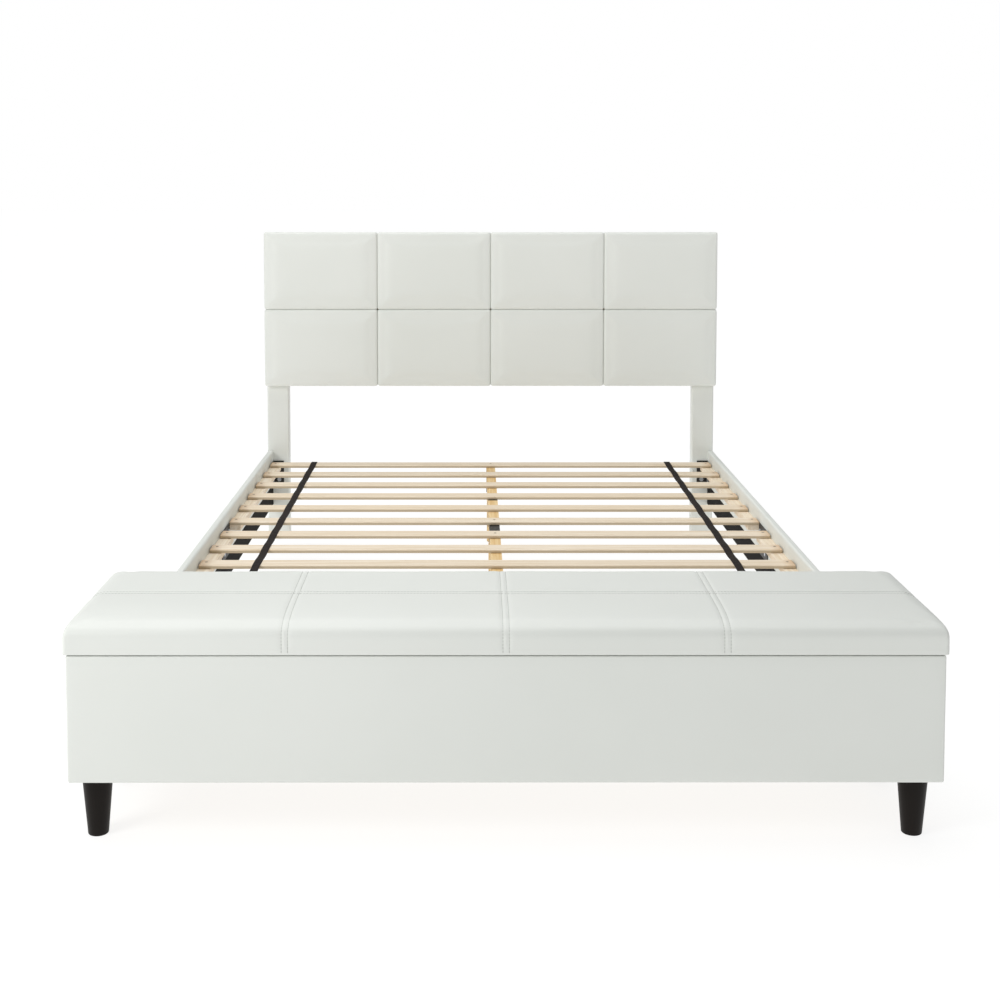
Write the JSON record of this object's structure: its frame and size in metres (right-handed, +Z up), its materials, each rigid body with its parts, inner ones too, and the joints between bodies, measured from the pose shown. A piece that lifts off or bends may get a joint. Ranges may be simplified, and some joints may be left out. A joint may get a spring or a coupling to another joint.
{
  "type": "upholstered bed with chest footboard",
  "caption": "Low upholstered queen bed: padded headboard on two legs, slatted frame, and a lidded blanket chest with a padded seat as its footboard.",
  "frame": {"origin": "on the floor under the middle of the bed's overall box", "axes": "+X to the right seen from the foot, +Y from the chest to the headboard, +Z up"},
  "size_m": [1.664, 2.452, 1.081],
  "materials": {
    "faux_leather": "smooth white upholstery, low sheen",
    "panel_board": "raw particle board and softwood",
    "slat_wood": "planed pale wood",
    "beam_pine": "planed pine",
    "dark_lining": "black non-woven lining",
    "webbing": "dark woven webbing",
    "black_steel": "black powder coat",
    "zinc_steel": "bright zinc",
    "browned_steel": "browned steel",
    "stay_rod_steel": "polished steel",
    "foot_black": "black-brown stain, satin",
    "glide_plastic": "black plastic"
  },
  "bodies": {
    "frame": {"headboard_board": "panel_board", "headboard_cushion": "faux_leather", "headboard_dust_cover": "dark_lining", "head_leg_left": "panel_board", "head_leg_right": "panel_board", "head_leg_cover_left": "faux_leather", "head_leg_cover_right": "faux_leather", "headboard_bolts": "zinc_steel", "leg_glides": "glide_plastic", "rail_left_head": "panel_board", "rail_left_foot": "panel_board", "rail_right_head": "panel_board", "rail_right_foot": "panel_board", "rail_cover_left_head": "faux_leather", "rail_cover_left_foot": "faux_leather", "rail_cover_right_head": "faux_leather", "rail_cover_right_foot": "faux_leather", "rail_liners": "dark_lining", "ledger_left_head": "slat_wood", "ledger_left_foot": "slat_wood", "ledger_right_head": "slat_wood", "ledger_right_foot": "slat_wood", "rail_joint_plates": "black_steel", "head_brackets": "black_steel", "foot_brackets": "black_steel", "frame_bolts": "zinc_steel", "ledger_screws": "zinc_steel", "slats_head": "slat_wood", "slats_foot": "slat_wood", "slat_screws": "browned_steel", "strap_left": "webbing", "strap_right": "webbing", "strap_staples": "zinc_steel", "centre_beam_head": "beam_pine", "centre_beam_foot": "beam_pine", "centre_beam_channel": "black_steel", "centre_legs": "beam_pine", "centre_leg_clips": "black_steel", "centre_beam_hanger": "black_steel", "chest_front_board": "panel_board", "chest_back_board": "panel_board", "chest_end_left": "panel_board", "chest_end_right": "panel_board", "chest_bottom_board": "panel_board", "chest_cover": "faux_leather", "chest_feet": "foot_black", "chest_foot_plates": "zinc_steel", "hinge_chest_leaves": "zinc_steel", "hinge_pins": "zinc_steel", "stay_chest_brackets": "zinc_steel"},
    "lid": {"lid_board": "panel_board", "lid_cushion": "faux_leather", "lid_lining": "dark_lining", "hinge_lid_leaves": "zinc_steel", "stay_lid_brackets": "zinc_steel"},
    "stay_cylinder_left": {"stay_cylinder_left": "black_steel"},
    "stay_cylinder_right": {"stay_cylinder_right": "black_steel"},
    "stay_rod_left": {"stay_rod_left": "stay_rod_steel"},
    "stay_rod_right": {"stay_rod_right": "stay_rod_steel"}
  },
  "joints": [
    {"name": "lid_hinge", "type": "hinge", "parent": "frame", "child": "lid", "pos_m": [0, -0.8495, 0.368], "axis": [-1, 0, 0], "range_deg": [0, 75]},
    {"name": "stay_rod_left_hinge", "type": "hinge", "parent": "frame", "child": "stay_rod_left", "pos_m": [-0.794, -0.8845, 0.17109], "axis": [-1, 0, 0], "range_deg": [0, 37.5]},
    {"name": "stay_cylinder_left_hinge", "type": "hinge", "parent": "lid", "child": "stay_cylinder_left", "pos_m": [-0.794, -1.04908, 0.355], "axis": [-1, 0, 0], "range_deg": [-37.5, 0]},
    {"name": "stay_rod_right_hinge", "type": "hinge", "parent": "frame", "child": "stay_rod_right", "pos_m": [0.794, -0.8845, 0.17109], "axis": [-1, 0, 0], "range_deg": [0, 37.5]},
    {"name": "stay_cylinder_right_hinge", "type": "hinge", "parent": "lid", "child": "stay_cylinder_right", "pos_m": [0.794, -1.04908, 0.355], "axis": [-1, 0, 0], "range_deg": [-37.5, 0]}
  ],
  "couplings": [
    {"joint": "stay_rod_left_hinge", "follows": "lid_hinge", "ratio": 0.5},
    {"joint": "stay_cylinder_left_hinge", "follows": "lid_hinge", "ratio": -0.5},
    {"joint": "stay_rod_right_hinge", "follows": "lid_hinge", "ratio": 0.5},
    {"joint": "stay_cylinder_right_hinge", "follows": "lid_hinge", "ratio": -0.5}
  ]
}
